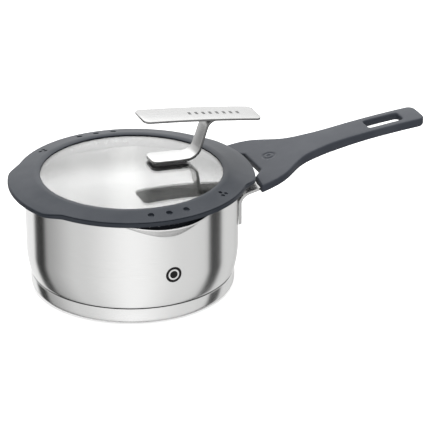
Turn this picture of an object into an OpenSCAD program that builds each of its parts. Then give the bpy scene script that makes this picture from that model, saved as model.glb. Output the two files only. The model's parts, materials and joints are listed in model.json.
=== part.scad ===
// Saucepan with two pouring spouts, forked long handle and a glass straining lid.
// Millimetres. Origin at the centre of the base's resting face, +Z up, +X along the handle.

/* [Pan] */
// Outside radius of the pan at its rim
pan_r = 81.3; // [60:0.5:120]
// Height of the rim above the table
rim_z = 86; // [60:1:140]
// Thickness of the drawn wall
wall_t = 0.9; // [0.6:0.1:1.5]
// Outside radius of the capsule base
base_r = 78.1; // [55:0.1:115]
// Height of the capsule base's side band
base_h = 13.1; // [8:0.1:18]

/* [Spouts] */
// How far each spout lip stands out past the wall
spout_out = 11; // [6:0.5:16]
// Height of the lip at the middle of a spout
lip_z = 82; // [70:0.5:100]
// Height of the flare below the lip
flare_h = 13.5; // [8:0.5:20]

/* [Lid] */
// Radius of the glass disc
glass_r = 73.5; // [50:0.5:110]
// Radius of the dome's top surface
dome_r = 470; // [300:1:900]
// Thickness of the glass
glass_t = 3; // [2.5:0.5:6]
// Height of the glass at its centre
dome_z = 96; // [85:0.5:130]
// Outside radius of the round part of the silicone rim
ring_r = 88.9; // [75:0.1:130]
// Outside radius of the two grip ears
ear_r = 94; // [80:0.1:140]
// Half the angle that one ear spans, blends included
ear_half = 36; // [20:1:50]
// Number of fine straining holes over each spout
strain_n = 7; // [3:1:11]

/* [Knob] */
// Width of the bent strip at its foot
strip_w = 19.6; // [14:0.1:24]
// Width of the bent strip from its stem on
stem_w = 14.6; // [10:0.1:20]
// Thickness of the bent strip
strip_t = 2.2; // [1.5:0.1:3]
// Width of the grip plate
plate_w = 26.5; // [16:0.5:32]
// Thickness of the grip plate
plate_t = 1.8; // [1.2:0.1:3]

/* [Handle] */
// Distance from the pan's axis to the end of the handle
handle_end = 240; // [180:0.5:320]
// Half the width of the grip
grip_w = 13.4; // [9:0.1:18]
// Half the width across the two root arms
root_w = 41.4; // [28:0.1:55]
// Thickness of the grip at its edge
grip_t = 7.5; // [5:0.5:12]
// Thickness of the silicone over the core
skin_t = 1.6; // [1:0.1:3]
// Half the width of the hanging slot
slot_w = 6.5; // [4:0.5:8]

/* [Hidden] */
$fn = 96;
fit = 0.05;
floor_under = 6.5;
floor_r = base_r - 12.1;
corner_a = 11.3;
corner_z = base_h - 0.2;
groove_r = base_r - 0.1;
groove_z = base_h + 0.5;
knee_z = 36;
under_z = 89.4;
edge_r = 5;
cap_t = 0.7;
dome_c = dome_z - dome_r;
spout_lip_r = pan_r + spout_out;
spout_half = 24;
// radius of the spout's own circle, from its lip and the angle it spans on the wall
spout_rho = (spout_lip_r*spout_lip_r + pan_r*pan_r - 2*spout_lip_r*pan_r*cos(spout_half))
    / (2*(spout_lip_r - pan_r*cos(spout_half)));
spout_c = spout_lip_r - spout_rho;
spout_foot = lip_z - flare_h;
lip_arc = 234;
slot_x0 = handle_end - 45.4;
slot_x1 = handle_end - 16.4;
slot_corner = 2.5;
recess_x = 99;
tip_c = -180;
tip_r = 272.8;
strip_in = 19;
strip_out = 37.5;
bracket_t = 2.2;
leg_r = pan_r + 0.15;
leg_z = 50;
leg_bend = 8;
bend_z = 66;
arm_rise = 14;
web_z = 76.7;
web_end = 152;
screw_x = [126, 146];
stud_x = [21, 36];
nut_af = 8;
mark_r = 80;
// turns of the fine holes, one group over each spout, and of the coarse ones
fine_turn = [-90, 90];
coarse_turn = [-52, 128];

// ---------- shared curves ----------

// outside radius of the wall at height z, above the groove
function wall_r(z) = z < knee_z
    ? pan_r - 0.3 - (pan_r - 0.3 - groove_r)*pow((knee_z - z)/(knee_z - groove_z), 2.2)
    : pan_r - 0.3 + 0.3*(z - knee_z)/(rim_z - knee_z);

// outline of the pan's wall and corner, moved inward by d
function pan_line(d) = concat(
    [[0, floor_under + d]],
    [for (t = [0:15:90])
        [floor_r + (corner_a - d)*sin(t), corner_z - (corner_z - floor_under - d)*cos(t)]],
    [for (k = [0:8]) let (z = groove_z + (knee_z - groove_z)*k/8) [wall_r(z) - d, z]],
    [[pan_r - d, rim_z + 8*d]],
    [[0, rim_z + 8*d]]);

// bottom and rounded edge of the capsule base, moved inward by d
function cap_line(d) = concat(
    [[0, d]],
    [for (t = [0:15:90]) [base_r - edge_r + (edge_r - d)*sin(t), edge_r - (edge_r - d)*cos(t)]]);

// radius of a spout's own circle at height z
function flare(z) = spout_rho - spout_out + spout_out*pow(max(0, z - spout_foot)/flare_h, 1.6);

// height of the handle's top surface at distance x from the pan's axis
function top_z(x) = rim_z - 2.8 + 0.2213*(x - 100) - 0.000566*pow(x - 100, 2);

// 0 at the root, 1 on the grip
function grip_mix(x, mid, len) = 1/(1 + exp(-(x - mid)/len));

// half width, edge thickness and belly of the handle, which turns hollow near the slot
function half_w(x) = grip_w + (root_w - grip_w)*(1 - grip_mix(x, 122.6, 8.5))
    + 1.1*exp(-pow((x - 145)/12, 2))
    - (x > handle_end - 6 ? 6 - sqrt(max(0, 36 - pow(x - handle_end + 6, 2))) : 0);
function edge_t(x) = grip_t - 0.8*(1 - grip_mix(x, 112, 6));
function belly(x) = 3*grip_mix(x, 122, 5) - 4.7*ease((x - 160)/35);

// stations along the handle
stations = concat(
    [for (x = [82:4:138]) x],
    [for (x = [144:8:224]) x],
    [230],
    [for (t = [0:18:90]) handle_end - 6 + 6*sin(t)]);

// one closed section of the handle, i inside the skin
function corner(cy, cz, e, t0) = [for (t = [t0:22.5:t0 + 90]) [cy + e*cos(t), cz + e*sin(t)]];
function section(x, i) =
    let (w = half_w(x) - i,
         e = max(0.5, 2 - 0.7*i),
         zt = top_z(x) - i,
         zb = top_z(x) - edge_t(x) + i,
         s = x - i*max(0, x - handle_end + 6)/6)
    [for (p = concat(
        corner(w - e, zt - e, e, 0),
        corner(-w + e, zt - e, e, 90),
        corner(-w + e, zb + e, e, 180),
        [for (k = [-2:2]) [(w - e)*k/3, zb - belly(x)*(1 - pow(k/3, 2))]],
        corner(w - e, zb + e, e, 270)))
        [s, p[0], p[1]]];
sec_n = 25;

// bent strip of the knob: centre line from the free end of the foot to the end of the flange
foot_tilt = -2.9;
stem_tilt = 71;
flange_tilt = -7.5;
low_r = 10.5;
high_r = 8.5;
foot_a = [14.2, 98.6];
foot_b = foot_a + 28.6*[1, tan(foot_tilt)];
low_c = foot_b + low_r*[-sin(foot_tilt), cos(foot_tilt)];
stem_a = low_c + low_r*[sin(stem_tilt), -cos(stem_tilt)];
stem_b = stem_a + 16.7*[cos(stem_tilt), sin(stem_tilt)];
high_c = stem_b - high_r*[-sin(stem_tilt), cos(stem_tilt)];
flange_a = high_c + high_r*[-sin(flange_tilt), cos(flange_tilt)];
flange_b = flange_a + 21.3*[cos(flange_tilt), sin(flange_tilt)];
// the same line moved sideways by d, positive to the upper side
function strip_line(d) = concat(
    [foot_a + d*[-sin(foot_tilt), cos(foot_tilt)]],
    [for (k = [0:7]) let (t = foot_tilt + (stem_tilt - foot_tilt)*k/7)
        low_c + (low_r - d)*[sin(t), -cos(t)]],
    [for (k = [0:7]) let (t = stem_tilt + (flange_tilt - stem_tilt)*k/7)
        high_c + (high_r + d)*[-sin(t), cos(t)]],
    [flange_b + d*[-sin(flange_tilt), cos(flange_tilt)]]);
function back(v) = [for (k = [len(v) - 1:-1:0]) v[k]];

// top of the grip plate
plate_a = 6.8;
plate_b = 101.8;
function plate_z(x) = 134.7 - 0.085*(x - 11) - 0.0004*pow(x - 11, 2);

// outside radius of the silicone rim, d degrees from the middle of an ear
function ease(t) = let (u = min(1, max(0, t))) u*u*(3 - 2*u);
function ear_line(d) = ring_r - 1.2 + (ear_r - ring_r + 1.2)*ease((ear_half - abs(d))/13);

// ---------- shared solids ----------

module turned(points) {
    rotate_extrude() polygon(points);
}

module round_bar(x0, x1, w, r, z0, z1) {
    translate([0, 0, z0]) linear_extrude(z1 - z0) {
        translate([x0 + r, -w/2]) square([x1 - x0 - 2*r, w]);
        translate([x0, -w/2 + r]) square([x1 - x0, w - 2*r]);
        for (sx = [x0 + r, x1 - r], sy = [-1, 1]) translate([sx, sy*(w/2 - r)]) circle(r);
    }
}

// solid inside the wall line moved inward by d, with both spouts
module pan_solid(d) {
    turned(pan_line(d));
    for (s = [-1, 1]) translate([0, s*spout_c, 0]) turned(concat(
        [[0, spout_foot]],
        [for (k = [0:8]) let (z = spout_foot + (rim_z - spout_foot)*k/8) [flare(z) - d, z]],
        [[0, rim_z]]));
}

module lip_cut() {
    for (s = [-1, 1]) translate([0, s*(pan_r + 15), lip_z + lip_arc])
        rotate([90, 0, 0]) cylinder(r = lip_arc, h = 66, center = true, $fn = 360);
}

module handle_block(i) {
    n = len(stations);
    points = [for (x = stations) each section(x, i)];
    sides = [for (k = [0:n - 2], j = [0:sec_n - 1])
        [k*sec_n + j, (k + 1)*sec_n + j, (k + 1)*sec_n + (j + 1) % sec_n, k*sec_n + (j + 1) % sec_n]];
    polyhedron(points, concat([[for (j = [0:sec_n - 1]) j]], sides,
        [back([for (j = [0:sec_n - 1]) (n - 1)*sec_n + j])]), convexity = 6);
}

// hanging slot, fork recess and the hollow at the arm tips, all grown by i
module handle_gaps(i) {
    translate([0, 0, 40]) linear_extrude(100) {
        for (x = [slot_x0 + slot_corner, slot_x1 - slot_corner], y = [-1, 1])
            translate([x, y*(slot_w - slot_corner)]) circle(slot_corner + i);
        translate([slot_x0 + slot_corner, -slot_w - i])
            square([slot_x1 - slot_x0 - 2*slot_corner, 2*slot_w + 2*i]);
        translate([slot_x0 - i, slot_corner - slot_w])
            square([slot_x1 - slot_x0 + 2*i, 2*slot_w - 2*slot_corner]);
        polygon([[80, -33.5 - i], [recess_x - 2, -18 - i], [recess_x + i, -16.2 - i],
            [recess_x + i, 16.2 + i], [recess_x - 2, 18 + i], [80, 33.5 + i]]);
        translate([tip_c, 0]) circle(tip_r + i, $fn = 720);
    }
}

module handle_form(i) {
    difference() {
        handle_block(i);
        handle_gaps(i);
    }
}

// bent leg and arm strip as one side profile, grown by g
module arm_strips(g) {
    c = [leg_r + bracket_t + leg_bend, bend_z];
    top = 90 - arm_rise;
    foot = c + leg_bend*[-cos(top), sin(top)];
    end_z = foot[1] + (104 - foot[0])*tan(arm_rise);
    intersection() {
        rotate([0, 0, -32]) rotate_extrude(angle = 64) polygon(concat(
            [[leg_r - g, leg_z - g]],
            [for (t = [0:top/8:top + 0.1]) c + (leg_bend + bracket_t + g)*[-cos(t), sin(t)]],
            [[104, end_z + (bracket_t + g)/cos(arm_rise)], [104, end_z - g/cos(arm_rise)]],
            back([for (t = [0:top/8:top + 0.1]) c + (leg_bend - g)*[-cos(t), sin(t)]]),
            [[leg_r + bracket_t + g, leg_z - g]]));
        translate([0, 0, 40]) linear_extrude(60) for (s = [-1, 1])
            translate([60, s*(strip_in + strip_out)/2 - (strip_out - strip_in)/2 - g])
                square([44, strip_out - strip_in + 2*g]);
    }
}

// steel web inside the handle that joins the two arms
function web_mid(x) = top_z(x) - edge_t(x)/2;
module web(g) {
    difference() {
        intersection() {
            translate([0, 60, 0]) rotate([90, 0, 0]) linear_extrude(120) polygon(concat(
                [[96, web_z - g]],
                [for (x = [104:8:web_end]) [x, web_mid(x) - bracket_t/2 - g]],
                back([for (x = [104:8:web_end]) [x, web_mid(x) + bracket_t/2 + g]]),
                [[96, web_z + bracket_t + g]]));
            translate([0, 0, 50]) linear_extrude(60) polygon(concat(
                [for (x = [96:4:web_end]) [x, half_w(x) - 3.6 + g]],
                back([for (x = [96:4:web_end]) [x, 3.6 - g - half_w(x)]])));
        }
        translate([0, 0, 40]) linear_extrude(80)
            polygon([[80, -20 + g], [102.5 - g, -18.4 + g], [102.5 - g, 18.4 - g], [80, 20 - g]]);
    }
}

module at_screws() {
    for (x = screw_x) translate([x, 0, web_mid(x)]) children();
}

module strip_solid(g) {
    w = strip_w + 2;
    translate([0, w/2, 0]) rotate([90, 0, 0]) linear_extrude(w)
        polygon(concat(strip_line(strip_t/2 + g), back(strip_line(-strip_t/2 - g))));
}

// the strip's plan: rounded foot, then a taper to the stem's width
module strip_plan() {
    w = strip_w/2;
    v = stem_w/2;
    r = 5;
    x0 = foot_a[0] + 0.1;
    line = concat(
        [for (t = [0:15:90]) [x0 + r*(1 - cos(t)), w - r*(1 - sin(t))]],
        [[38, w], [47, w - (w - v)*0.65], [60, v], [110, v]]);
    translate([0, 0, 80]) linear_extrude(60)
        polygon(concat(line, back([for (p = line) [p[0], -p[1]]])));
}

// everything under a dome of radius r that shares the glass's centre
module under_dome(r) {
    turned(concat([[0, 60]],
        [for (k = [0:16]) [4.7*k, dome_c + sqrt(r*r - pow(4.7*k, 2))]],
        [[4.7*16, 60]]));
}

// ---------- nodes ----------

module pan_shell() color("silver") difference() {
    pan_solid(0);
    pan_solid(wall_t);
    translate([0, 0, rim_z]) cylinder(r = 140, h = 20);
    lip_cut();
}

module core_disc() color("lightgray") difference() {
    turned(concat(cap_line(cap_t + fit), [[base_r - cap_t - fit, base_h - 0.3], [0, base_h - 0.3]]));
    turned(pan_line(-fit));
}

module base_cap() color("silver") difference() {
    turned(concat(cap_line(0), [[base_r, base_h - 0.5], [base_r - 0.4, base_h], [0, base_h]]));
    turned(concat(cap_line(cap_t), [[base_r - cap_t, base_h + 1], [0, base_h + 1]]));
    turned(pan_line(-fit));
}

module handle_bracket() color("silver") difference() {
    union() {
        arm_strips(0);
        web(0);
    }
    at_screws() cylinder(r = 3.05, h = 12, center = true);
}

module handle_core() color("dimgray") difference() {
    intersection() {
        handle_form(skin_t + fit);
        translate([104 + fit, -60, 60]) cube([140, 120, 60]);
    }
    web(fit);
    at_screws() {
        cylinder(r = 3.05, h = 20);
        translate([0, 0, -20]) cylinder(r = 3.4, h = 20);
    }
}

module handle_sleeve() color("slategray") difference() {
    handle_form(0);
    intersection() {
        handle_form(skin_t);
        translate([104, -60, 60]) cube([140, 120, 60]);
    }
    arm_strips(fit);
    web(fit);
    at_screws() translate([0, 0, -20]) cylinder(r = 3.4, h = 20);
}

module handle_inserts() color("goldenrod") at_screws() translate([0, 0, -bracket_t/2])
    difference() {
        cylinder(r = 3, h = 2.2);
        translate([0, 0, -1]) cylinder(r = 1.7, h = 6);
    }

module handle_screws() color("silver") at_screws() translate([0, 0, -bracket_t/2 - 2.7])
    difference() {
        union() {
            cylinder(r = 3.2, h = 1.9);
            cylinder(r = 1.65, h = 4.8);
        }
        translate([0, 0, -0.1]) cylinder(r = 1.3, h = 1.1, $fn = 6);
    }

module screw_plugs() color("slategray") intersection() {
    at_screws() translate([0, 0, -20]) cylinder(r = 3.35, h = 20 - bracket_t/2 - 2.75);
    handle_block(0.1);
}

module lid_glass() color([0.8, 0.85, 0.85, 0.4]) difference() {
    intersection() {
        translate([0, 0, dome_c]) sphere(dome_r, $fn = 200);
        cylinder(r = glass_r, h = 200);
    }
    translate([0, 0, dome_c]) sphere(dome_r - glass_t, $fn = 200);
    for (x = stud_x) translate([x, 0, 60]) cylinder(r = 4.5, h = 60);
}

module lid_rim() color("slategray") difference() {
    union() {
        // round part with its skirt
        turned([[69.3, 91], [69.7, 91.4], [71, 91.9], [73, 92.1], [75, 91.7], [ring_r - 0.9, 88.8],
            [ring_r - 0.4, 88.45], [ring_r - 0.8, 88.1], [ring_r - 0.3, 87.8], [ring_r, 87.4],
            [ring_r, 85.2], [ring_r - 0.7, 84.5], [ring_r - 3.1, 84.5], [ring_r - 3.9, 85.3],
            [ring_r - 4.5, rim_z + fit], [79.2, rim_z + fit], [79.2, 77.2], [78.6, 76.2], [77.5, 76.2],
            [77, 77.2], [77, 85.6], [70.8, 85.6], [70.8, 87.1], [glass_r + fit, 87.1],
            [glass_r + fit, 91]]);
        // two ears that droop towards their outer edge
        for (s = [0, 180]) rotate([0, 0, s]) intersection() {
            rotate([0, 0, -ear_half - 3]) rotate_extrude(angle = 2*ear_half + 6) polygon([[81, 87.2],
                [80, 90.35], [ring_r - 3.7, 89.2], [ring_r - 0.6, 88.5], [ring_r + 2.4, 87.8],
                [ear_r - 0.8, 87.2], [ear_r, 86.4], [ear_r, 84.6], [ear_r - 0.8, 83.8],
                [ring_r + 2, 83.9], [ring_r - 1.2, 84.25], [ring_r - 3.5, 84.9], [ring_r - 4.1, 85.8]]);
            translate([0, 0, 80]) linear_extrude(20) polygon(concat([[0, 0]],
                [for (d = [-ear_half:2:ear_half]) ear_line(d)*[cos(d), sin(d)]]));
        }
    }
    // round marks over the fine holes, trefoil marks over the coarse ones
    for (s = fine_turn, k = [-1:1]) rotate([0, 0, s + 10*k]) translate([mark_r, 0, 89.4])
        cylinder(r = 1.9, h = 4);
    for (s = coarse_turn) rotate([0, 0, s]) translate([mark_r, 0, 89.4]) for (k = [0:2])
        rotate([0, 0, 120*k + 60]) translate([2.1, 0, 0]) cylinder(r = 1.1, h = 4);
    // fine straining holes, and coarse ones a part turn away
    for (s = fine_turn, k = [0:strain_n - 1]) rotate([0, 0, s + 5.5*(k - (strain_n - 1)/2)])
        translate([78, 0, 81.2]) rotate([0, 90, 0]) cylinder(r = 1.5, h = 6, center = true);
    for (s = coarse_turn, k = [-1:1]) rotate([0, 0, s + 9*k])
        translate([78, 0, 80.6]) rotate([0, 90, 0]) cylinder(r = 2.8, h = 6, center = true);
}

module knob_strip() color("silver") intersection() {
    strip_solid(0);
    strip_plan();
}

module knob_plate() color("silver") intersection() {
    translate([0, plate_w/2, 0]) rotate([90, 0, 0]) linear_extrude(plate_w) polygon(concat(
        [for (k = [0:12]) let (x = plate_a + (plate_b - plate_a)*k/12) [x, plate_z(x)]],
        back([for (k = [0:12]) let (x = plate_a + (plate_b - plate_a)*k/12) [x, plate_z(x) - plate_t]])));
    round_bar(plate_a, plate_b, plate_w, 5, 100, 150);
    // hollowed where the flange lies against it
    difference() {
        translate([0, -50, 90]) cube([120, 100, 60]);
        intersection() {
            strip_solid(0.02);
            translate([0, -stem_w/2 - 0.1, 90]) cube([120, stem_w + 0.2, 60]);
        }
    }
}

module foot_gasket() color("dimgray") difference() {
    intersection() {
        round_bar(15.5, 42.8, strip_w - 2.4, 4.2, 90, 99);
        translate([0, strip_w/2, 0]) rotate([90, 0, 0]) linear_extrude(strip_w) polygon([[13, 85],
            [13, foot_a[1] - strip_t/2 - 0.02 - 1.2*tan(foot_tilt)],
            [foot_b[0], foot_b[1] - strip_t/2 - 0.02], [foot_b[0], 85]]);
    }
    under_dome(dome_r + fit);
    for (x = stud_x) translate([x, 0, 80]) cylinder(r = 2.6, h = 40);
}

module knob_studs() color("silver") difference() {
    for (x = stud_x) translate([x, 0, under_z - 5.4]) cylinder(r = 2.5, h = 16);
    strip_solid(0.02);
    translate([0, 0, 98.2]) cylinder(r = 60, h = 20);
}

module stud_sleeves() color("black") for (x = stud_x) translate([x, 0, 0]) difference() {
    translate([0, 0, dome_z - glass_t + 0.1 - pow(x - 4.4, 2)/2/dome_r])
        cylinder(r = 4.4, h = glass_t - 0.2 - 17.6*x/2/dome_r);
    translate([0, 0, 80]) cylinder(r = 2.6, h = 40);
}

module lower_gasket() color("dimgray") intersection() {
    difference() {
        round_bar(13, 44, strip_w - 2, 4, under_z, 95);
        for (x = stud_x) translate([x, 0, 80]) cylinder(r = 2.6, h = 40);
    }
    under_dome(dome_r - glass_t - fit);
}

module lid_washers() color("silver") for (x = stud_x) translate([x, 0, under_z - 1.1]) difference() {
    cylinder(r = 5.5, h = 1.05);
    translate([0, 0, -1]) cylinder(r = 2.65, h = 4);
}

module cap_nuts() color("silver") for (x = stud_x) translate([x, 0, 0]) difference() {
    union() {
        translate([0, 0, under_z - 5.4]) cylinder(r = nut_af/2/cos(30), h = 4.25, $fn = 6);
        translate([0, 0, under_z - 5.2]) sphere(3.8);
    }
    translate([0, 0, under_z - 5.7]) cylinder(r = 2.55, h = 6);
}

pan_shell();
core_disc();
base_cap();
handle_bracket();
handle_core();
handle_sleeve();
handle_inserts();
handle_screws();
screw_plugs();
lid_glass();
lid_rim();
knob_strip();
knob_plate();
foot_gasket();
knob_studs();
stud_sleeves();
lower_gasket();
lid_washers();
cap_nuts();
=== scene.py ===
import json
import math

import bpy
import numpy as np
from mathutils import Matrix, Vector
from mathutils.geometry import delaunay_2d_cdt

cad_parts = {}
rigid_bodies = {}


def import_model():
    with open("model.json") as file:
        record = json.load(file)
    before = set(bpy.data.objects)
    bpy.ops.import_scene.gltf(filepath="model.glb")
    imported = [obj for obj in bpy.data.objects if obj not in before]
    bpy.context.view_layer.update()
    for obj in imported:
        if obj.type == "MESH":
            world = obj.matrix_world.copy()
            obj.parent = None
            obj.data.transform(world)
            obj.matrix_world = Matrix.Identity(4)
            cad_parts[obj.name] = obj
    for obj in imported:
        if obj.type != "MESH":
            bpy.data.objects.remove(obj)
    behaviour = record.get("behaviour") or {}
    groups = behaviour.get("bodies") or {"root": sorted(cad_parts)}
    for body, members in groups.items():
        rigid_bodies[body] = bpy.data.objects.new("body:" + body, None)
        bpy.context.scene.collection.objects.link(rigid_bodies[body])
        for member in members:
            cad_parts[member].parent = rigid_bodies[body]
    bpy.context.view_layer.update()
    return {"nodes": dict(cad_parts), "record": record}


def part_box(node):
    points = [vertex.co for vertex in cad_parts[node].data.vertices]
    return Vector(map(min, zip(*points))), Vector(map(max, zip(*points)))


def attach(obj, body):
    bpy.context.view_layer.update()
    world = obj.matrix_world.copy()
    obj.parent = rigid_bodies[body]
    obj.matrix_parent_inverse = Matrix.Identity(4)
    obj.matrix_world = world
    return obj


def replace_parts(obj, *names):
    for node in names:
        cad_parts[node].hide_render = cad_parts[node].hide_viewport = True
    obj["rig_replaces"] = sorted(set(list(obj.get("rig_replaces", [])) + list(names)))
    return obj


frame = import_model()
MM = 0.001


# ---------- sizes, in millimetres, taken from the CAD nodes ----------

def span(node):
    lo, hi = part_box(node)
    return np.array(lo) / MM, np.array(hi) / MM


pan_lo, pan_hi = span("pan_shell")
cap_hi = span("base_cap")[1]
rim_lo, rim_hi = span("lid_rim")
glass_hi = span("lid_glass")[1]
sleeve_hi = span("handle_sleeve")[1]
plate_lo, plate_hi = span("knob_plate")
stud_lo, stud_hi = span("knob_studs")
RIM_Z = pan_hi[2]
PAN_R = pan_hi[0]
WALL = 0.9
FLOOR = pan_lo[2]
LIP_R = pan_hi[1]
BASE_R = cap_hi[0]
BASE_H = cap_hi[2]
RING_R = rim_hi[1]
EAR_R = rim_hi[0]
# the lid's ears: degrees to each side of their middle, and over how many they blend in
EAR_HALF = 36.0
EAR_BLEND = 12.0
HANDLE_END = sleeve_hi[0]
BLACK = (0, 0, 0)
WHITE = (1, 1, 1)


def ease(t):
    """0 to 1 with a soft start and end."""
    t = np.clip(t, 0, 1)
    return t * t * (3 - 2 * t)


# ---------- mesh helpers ----------

def make(name, verts, faces, sharp=None):
    """A smooth-shaded mesh object from millimetre points. Edges over `sharp` degrees stay crisp."""
    mesh = bpy.data.meshes.new(name)
    mesh.from_pydata([tuple(float(c) * MM for c in v) for v in verts], [], faces)
    mesh.validate()
    mesh.update()
    obj = bpy.data.objects.new(name, mesh)
    bpy.context.scene.collection.objects.link(obj)
    smooth(obj, sharp)
    return obj


def smooth(obj, sharp=None):
    obj.data.shade_smooth()
    if sharp:
        obj.data.set_sharp_from_angle(angle=math.radians(sharp))


def strip_faces(rows, cols, close_rows, close_cols):
    """Quads between the points of a grid stored row by row."""
    out = []
    for i in range(rows if close_rows else rows - 1):
        for j in range(cols if close_cols else cols - 1):
            a, b = i * cols + j, i * cols + (j + 1) % cols
            c, d = (i + 1) % rows * cols + (j + 1) % cols, (i + 1) % rows * cols + j
            out.append((a, b, c, d))
    return out


def rounded(corners, n=4):
    """Closed outline through corners (x, y, cut): each corner is cut back by `cut` and curved."""
    out = []
    for k, (x, y, cut) in enumerate(corners):
        p = np.array((x, y))
        before = np.array(corners[k - 1][:2]) - p
        after = np.array(corners[(k + 1) % len(corners)][:2]) - p
        lb, la = np.linalg.norm(before), np.linalg.norm(after)
        a = p + before / lb * min(cut, lb * 0.48)
        b = p + after / la * min(cut, la * 0.48)
        for t in np.linspace(0, 1, n + 1):
            out.append((1 - t) ** 2 * a + 2 * t * (1 - t) * p + t * t * b)
    return np.array(out)


def lathe(name, line, segments=256, sharp=None, closed=True):
    """Turns an (r, z) outline round the Z axis. Points on the axis make one vertex each."""
    line = np.array(line)
    angles = np.linspace(0, 2 * np.pi, segments, endpoint=False)
    verts, index = [], {}
    for j, (r, z) in enumerate(line):
        if r < 1e-6:
            index[j] = [len(verts)] * segments
            verts.append((0, 0, z))
        else:
            index[j] = list(range(len(verts), len(verts) + segments))
            verts += [(r * math.cos(a), r * math.sin(a), z) for a in angles]
    faces = []
    for j in range(len(line) if closed else len(line) - 1):
        k = (j + 1) % len(line)
        for i in range(segments):
            f = (index[j][i], index[j][(i + 1) % segments], index[k][(i + 1) % segments], index[k][i])
            f = tuple(dict.fromkeys(f))
            if len(f) > 2:
                faces.append(f)
    return make(name, verts, faces, sharp)


def bar(name, path, half_width, thick, edge, corner_start, corner_end, sharp=None):
    """A flat strip along a path in the XZ plane, with rounded edges and rounded plan corners."""
    path = np.array(path, float)
    tangent = np.gradient(path, axis=0)
    tangent /= np.linalg.norm(tangent, axis=1)[:, None]
    normal = np.stack([-tangent[:, 1], tangent[:, 0]], 1)
    length = np.concatenate([[0], np.cumsum(np.linalg.norm(np.diff(path, axis=0), axis=1))])

    def inset(s, r):
        return r - math.sqrt(max(0, r * r - max(0, r - s) ** 2)) if r else 0

    verts, cols = [], None
    for p, n, s in zip(path, normal, length):
        w = half_width(p[0]) - max(inset(s, corner_start), inset(length[-1] - s, corner_end))
        e = min(edge, w * 0.6)
        loop = rounded([(w, thick / 2, e), (-w, thick / 2, e), (-w, -thick / 2, e), (w, -thick / 2, e)], 4)
        cols = len(loop)
        verts += [(p[0] + n[0] * v, u, p[1] + n[1] * v) for u, v in loop]
    faces = strip_faces(len(path), cols, False, True)
    faces.append(tuple(range(cols))[::-1])
    faces.append(tuple(range((len(path) - 1) * cols, len(path) * cols)))
    return make(name, verts, faces, sharp)


def cut(obj, cutters):
    """Cuts each cutter from obj, then removes the cutters."""
    for c in cutters:
        m = obj.modifiers.new("cut", "BOOLEAN")
        m.object, m.operation, m.solver = c, "DIFFERENCE", "EXACT"
    bpy.context.view_layer.update()
    done = bpy.data.meshes.new_from_object(obj.evaluated_get(bpy.context.evaluated_depsgraph_get()))
    obj.modifiers.clear()
    obj.data = done
    for c in cutters:
        bpy.data.objects.remove(c)


def rod(centre, axis, r, h, segments=32):
    """A short solid cylinder, used as a cutter."""
    q = Vector(axis).to_track_quat("Z", "Y")
    verts = []
    for z in (-h / 2, h / 2):
        for k in range(segments):
            a = 2 * math.pi * k / segments
            verts.append(Vector(centre) + q @ Vector((r * math.cos(a), r * math.sin(a), z)))
    faces = [(k, (k + 1) % segments, segments + (k + 1) % segments, segments + k) for k in range(segments)]
    faces.append(tuple(range(segments))[::-1])
    faces.append(tuple(range(segments, 2 * segments)))
    return make("cutter", verts, faces)


def polar(r, degrees, z):
    """A point given by its radius, its turn from +X and its height."""
    return r * math.cos(math.radians(degrees)), r * math.sin(math.radians(degrees)), z


# ---------- materials ----------

class Graph:
    """A node tree with short ways to add and link its nodes."""

    def __init__(self, tree):
        self.tree = tree

    def add(self, kind, **values):
        n = self.tree.nodes.new(kind)
        for k, v in values.items():
            setattr(n, k, v)
        return n

    def link(self, a, b):
        """Feeds input b from the socket a, or sets it when a is a constant."""
        if isinstance(a, bpy.types.NodeSocket):
            self.tree.links.new(a, b)
        else:
            b.default_value = a

    def calc(self, op, *values):
        n = self.add("ShaderNodeMath", operation=op)
        for k, v in enumerate(values):
            self.link(v, n.inputs[k])
        return n.outputs[0]

    def dot(self, a, b):
        n = self.add("ShaderNodeVectorMath", operation="DOT_PRODUCT")
        self.link(a, n.inputs[0])
        self.link(b, n.inputs[1])
        return n.outputs["Value"]

    def ramp(self, fac, stops, interpolation="LINEAR"):
        """Colour by place along 0 to 1: stops are (place, colour or grey)."""
        r = self.add("ShaderNodeValToRGB")
        r.color_ramp.interpolation = interpolation
        el = r.color_ramp.elements
        while len(el) < len(stops):
            el.new(0.5)
        for e, (p, c) in zip(el, stops):
            e.position = p
            e.color = (*c, 1) if isinstance(c, tuple) else (c, c, c, 1)
        self.link(fac, r.inputs[0])
        return r.outputs[0]


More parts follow.
